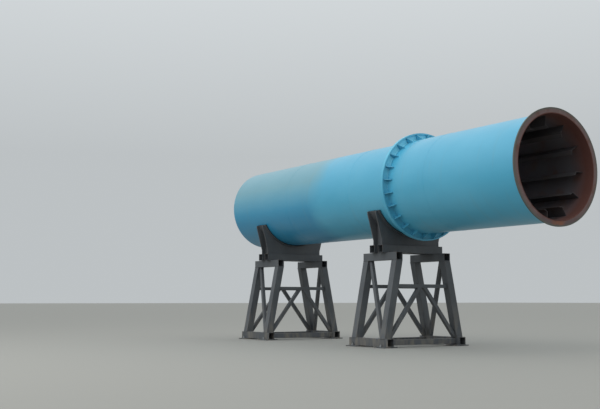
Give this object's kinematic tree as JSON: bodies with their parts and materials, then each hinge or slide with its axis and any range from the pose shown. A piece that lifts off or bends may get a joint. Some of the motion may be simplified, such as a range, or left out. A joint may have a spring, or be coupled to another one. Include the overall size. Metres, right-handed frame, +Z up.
{
  "type": "rotary dryer drum on saddle stands",
  "caption": "Open-ended welded dryer drum with lifting flights inside, a flat ring round its mouth and a gusseted girder ring, held level on braced steel saddle stands.",
  "frame": {"origin": "on the ground, under the drum's axis and the middle of its whole length", "axes": "+X along the drum towards its open mouth with the flat ring, +Y across it, +Z up"},
  "size_m": [9.4, 2.12, 4.1549],
  "materials": {
    "drum_paint": "sky-blue paint, satin, weathered",
    "rim_primer": "brown primer, matt, rusted",
    "flight_primer": "dark red-brown primer, matt, rusted",
    "stand_paint": "dark grey paint, satin",
    "liner_rubber": "matt black rubber"
  },
  "bodies": {
    "root": {"far_stand_cross_beams": "stand_paint", "far_stand_cross_ties": "stand_paint", "far_stand_end_braces": "stand_paint", "far_stand_foot_plates": "stand_paint", "far_stand_legs": "stand_paint", "far_stand_saddle_band": "stand_paint", "far_stand_saddle_liner": "liner_rubber", "far_stand_saddle_ribs": "stand_paint", "far_stand_saddle_webs": "stand_paint", "far_stand_side_braces": "stand_paint", "far_stand_sills": "stand_paint", "far_stand_top_rails": "stand_paint", "lifting_flights_1": "flight_primer", "lifting_flights_2": "flight_primer", "lifting_flights_3": "flight_primer", "lifting_flights_4": "flight_primer", "mouth_ring": "rim_primer", "near_stand_cross_beams": "stand_paint", "near_stand_cross_ties": "stand_paint", "near_stand_end_braces": "stand_paint", "near_stand_foot_plates": "stand_paint", "near_stand_legs": "stand_paint", "near_stand_saddle_band": "stand_paint", "near_stand_saddle_liner": "liner_rubber", "near_stand_saddle_ribs": "stand_paint", "near_stand_saddle_webs": "stand_paint", "near_stand_side_braces": "stand_paint", "near_stand_sills": "stand_paint", "near_stand_top_rails": "stand_paint", "ring_gussets_far_side": "drum_paint", "ring_gussets_mouth_side": "drum_paint", "ring_rim": "drum_paint", "ring_web": "drum_paint", "shell_course_1": "drum_paint", "shell_course_2": "drum_paint", "shell_course_3": "drum_paint", "shell_course_4": "drum_paint"}
  },
  "joints": []
}
